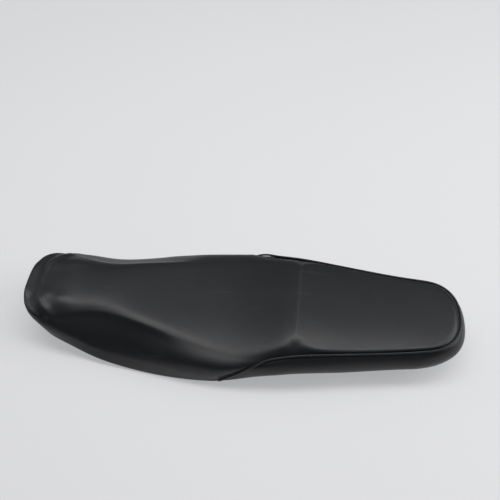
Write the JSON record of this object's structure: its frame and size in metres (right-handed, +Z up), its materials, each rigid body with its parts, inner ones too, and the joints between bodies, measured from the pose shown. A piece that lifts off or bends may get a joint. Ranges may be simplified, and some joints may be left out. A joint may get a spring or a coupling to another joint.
{
  "type": "motorcycle dual seat",
  "caption": "Padded dual seat with a dished rider's part, a step, a flatter welted passenger's part, and a moulded pan with tongue, hooks, striker and feet.",
  "frame": {"origin": "under the middle of the seat, level with the lowest edge of its flaps", "axes": "+X forward to the tank, +Y to the rider's left, +Z up"},
  "size_m": [0.6908, 0.239, 0.079],
  "materials": {
    "vinyl": "grained black vinyl, satin",
    "vinyl_band": "grained black vinyl, satin",
    "vinyl_welt": "smooth black vinyl piping",
    "foam": "moulded polyurethane foam, matt",
    "pan_plastic": "moulded black plastic, fine texture",
    "black_steel": "black painted steel, semi-gloss",
    "bright_rod": "zinc-plated rod",
    "zinc": "zinc-plated",
    "rubber": "moulded black rubber, matt"
  },
  "bodies": {
    "root": {"cover_top": "vinyl", "cover_rear_band": "vinyl_band", "welt": "vinyl_welt", "foam_cushion": "foam", "seat_pan": "pan_plastic", "hem_staples": "zinc", "front_tongue": "black_steel", "tongue_sleeve": "rubber", "tongue_screws": "zinc", "side_hooks": "black_steel", "hook_screws": "zinc", "striker_plate": "black_steel", "striker_loop": "bright_rod", "striker_backing": "black_steel", "striker_nuts": "zinc", "feet_front": "rubber", "feet_middle": "rubber", "feet_rear": "rubber", "drain_grommets": "rubber"}
  },
  "joints": []
}
